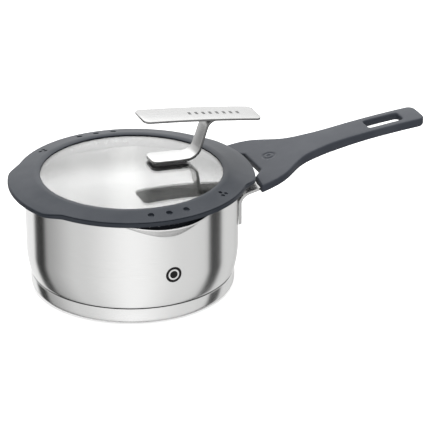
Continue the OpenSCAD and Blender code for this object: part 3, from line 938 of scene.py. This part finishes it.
def make_handle():
    """The handle's skin: top and underside over one plan, joined by a wall at each outline."""
    outline, slot = handle_outline(), handle_slot()
    v, tri = handle_plan(outline, slot)
    x, y = v[:, 0], v[:, 1]
    d = np.minimum(nearest(v, outline), nearest(v, slot))
    across = np.clip(np.abs(y) / half_w(np.clip(x, GRID_START, STRAIGHT_END)), 0, 1)

    def rounding(e):
        """How far a surface falls away within e of an outline."""
        near = np.clip(e - d, 0, e)
        return e - np.sqrt(np.maximum(0, e * e - near * near))

    from_mark = np.linalg.norm(v - MARK, axis=1)
    in_ring = np.minimum(RING_EDGES[0] - from_mark, from_mark - RING_EDGES[-1])
    in_dot = DOT_EDGES[0] - from_mark
    sunk = MARK_DEPTH * (np.clip(in_ring / MARK_SLOPE, 0, 1) + np.clip(in_dot / MARK_SLOPE, 0, 1))
    # between the arms the root is a little slimmer than the arms' outer edges
    slim = 1.1 * (1 - mix_in(x, 112, 5)) * np.clip((30 - np.abs(y)) / 12, 0, 1)
    z_top = top_z(x) - 0.35 * across ** 2 - rounding(EDGE_TOP) - sunk
    z_low = top_z(x) - edge_t(x) - belly(x) * (1 - across ** 2) + slim + rounding(EDGE_LOW)
    n = len(v)
    verts = np.vstack([np.column_stack([v, z_top]), np.column_stack([v, z_low])])
    faces = [tuple(int(k) for k in t) for t in tri]
    faces += [tuple(int(k) + n for k in t[::-1]) for t in tri]
    edges = [(int(a), int(b)) for t in tri for a, b in ((t[0], t[1]), (t[1], t[2]), (t[2], t[0]))]
    known = set(edges)
    faces += [(b, a, a + n, b + n) for a, b in edges if (b, a) not in known]
    return make("handle_grip", verts, faces)


handle = make_handle()
place(handle, "pan", "handle_silicone", "handle_sleeve")


# ---------- pieces whose CAD shape is shown as it is ----------

slots = {s["node"]: s["material_slot"] for s in frame["record"]["subparts"]}
replaced = {n for o in bpy.context.scene.objects for n in o.get("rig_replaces", [])}
for name, obj in frame["nodes"].items():
    if name not in replaced:
        obj.data.materials.clear()
        obj.data.materials.append(mats[slots[name]])


# ---------- stage, light and camera ----------

# the camera, in metres and degrees, and its lens in millimetres, as solved from the photograph
CAMERA_TURN = math.radians(-20)
CAMERA_BACK = 1.9781
CAMERA_UP = 0.9643
CAMERA_YAW = math.radians(1.83)
CAMERA_DOWN = math.radians(24.71)
CAMERA_LENS = 239.057
RIGHT = Vector((math.cos(CAMERA_TURN), math.sin(CAMERA_TURN), 0))
AWAY = Vector((-RIGHT.y, RIGHT.x, 0))


def make_floor():
    """A pale floor that steel and silicone do not mirror."""
    n, size = 48, 5.2
    steps = [(i / n - 0.5) * size / MM for i in range(n + 1)]
    verts = [(x, y, 0.0) for x in steps for y in steps]
    floor = make("floor", verts, strip_faces(n + 1, n + 1, False, False))
    m = Material("floor_paper", (0.86, 0.86, 0.86), 0.9)
    m.link(m.ramp(m.noise(6.0), [(0.3, 0.9), (0.7, 0.92)]), m.shader.inputs["Base Color"])
    m.shader.inputs["Specular IOR Level"].default_value = 0.0
    m.shader.inputs["Emission Color"].default_value = (1, 1, 1, 1)
    m.shader.inputs["Emission Strength"].default_value = 0.35
    floor.data.materials.append(m.mat)
    floor.visible_glossy = False
    floor.visible_diffuse = False


make_floor()


def make_world():
    """Soft studio light: brightness by direction, in degrees round the camera and above the horizon."""
    world = bpy.data.worlds.new("studio")
    bpy.context.scene.world = world
    world.use_nodes = True
    g = Graph(world.node_tree)
    d = g.add("ShaderNodeTexCoord").outputs["Generated"]
    side, front, up = g.dot(d, RIGHT), g.dot(d, -AWAY), g.dot(d, (0, 0, 1))
    turn = g.calc("ADD", g.calc("DIVIDE", g.calc("ARCTAN2", side, front), 2 * math.pi), 0.5)
    height = g.calc("ADD", g.calc("DIVIDE", g.calc("ARCSINE", up), math.pi), 0.5)

    def around(stops, scale=1.0):
        """Brightness up to `scale` by degrees from the camera's side, positive to its right."""
        share = g.ramp(turn, [((a + 180) / 360, v / scale) for a, v in stops], "EASE")
        return g.calc("MULTIPLY", share, scale)

    def upward(stops):
        """Brightness up to 1 by degrees above the horizon."""
        return g.ramp(height, [((e + 90) / 180, v) for e, v in stops], "EASE")

    # below the horizon: what upright steel mirrors, with a dark flag on each side
    left = ((-180, 1.05), (-150, 1.05), (-134, 1.15), (-128, 0.03), (-112, 0.03), (-105, 0.50),
            (-60, 0.88))
    right = ((60, 0.95), (88, 0.90), (94, 0.06), (109, 0.06), (115, 0.90), (140, 0.85), (152, 0.70),
             (180, 0.95))
    low = g.calc("MULTIPLY", around((*left, (0, 1.30), *right), 2.0), upward(((-88, 0.35), (-70, 1.0))))
    # above it: even walls
    high = around(((-180, 1.2), (-150, 1.1), (-110, 0.7), (0, 1.15), (110, 0.75), (150, 1.1),
                   (180, 1.2)), 2.0)
    blend = upward(((-7, 0.0), (-1, 1.0)))
    low_share = g.calc("SUBTRACT", 1.0, blend)
    walls = g.calc("ADD", g.calc("MULTIPLY", high, blend), g.calc("MULTIPLY", low, low_share))
    # a wide soft box high behind the object, and the ceiling
    behind = around(((-180, 1.0), (-150, 0.8), (-110, 0.0), (110, 0.0), (150, 0.8), (180, 1.0)))
    box_height = upward(((19, 0.0), (31, 1.0), (52, 1.0), (70, 0.0)))
    box = g.calc("MULTIPLY", g.calc("MULTIPLY", box_height, behind), 2.3)
    ceiling = upward(((40, 0.0), (75, 1.0), (90, 1.0)))
    # a paler band low behind, which the far half of the glass mirrors
    band_height = upward(((-1, 0.0), (4, 1.0), (19, 1.0), (30, 0.0)))
    band = g.calc("MULTIPLY", g.calc("MULTIPLY", band_height, behind), 0.6)
    total = g.calc("ADD", g.calc("ADD", g.calc("ADD", walls, box), band), ceiling)
    back = g.tree.nodes["Background"]
    g.link(total, back.inputs["Color"])
    back.inputs["Strength"].default_value = 1.0


make_world()

cam_data = bpy.data.cameras.new("camera")
cam = bpy.data.objects.new("camera", cam_data)
bpy.context.scene.collection.objects.link(cam)
spot = AWAY * -CAMERA_BACK
cam.location = (spot.x, spot.y, CAMERA_UP)
level_look = AWAY * math.cos(CAMERA_YAW) + RIGHT * math.sin(CAMERA_YAW)
look = level_look * math.cos(CAMERA_DOWN) - Vector((0, 0, math.sin(CAMERA_DOWN)))
cam.rotation_mode = "QUATERNION"
cam.rotation_quaternion = look.to_track_quat("-Z", "Y")
cam_data.sensor_width = 36.0
cam_data.lens = CAMERA_LENS
cam_data.clip_end = 20
bpy.context.scene.camera = cam
bpy.context.scene.view_settings.view_transform = "Standard"
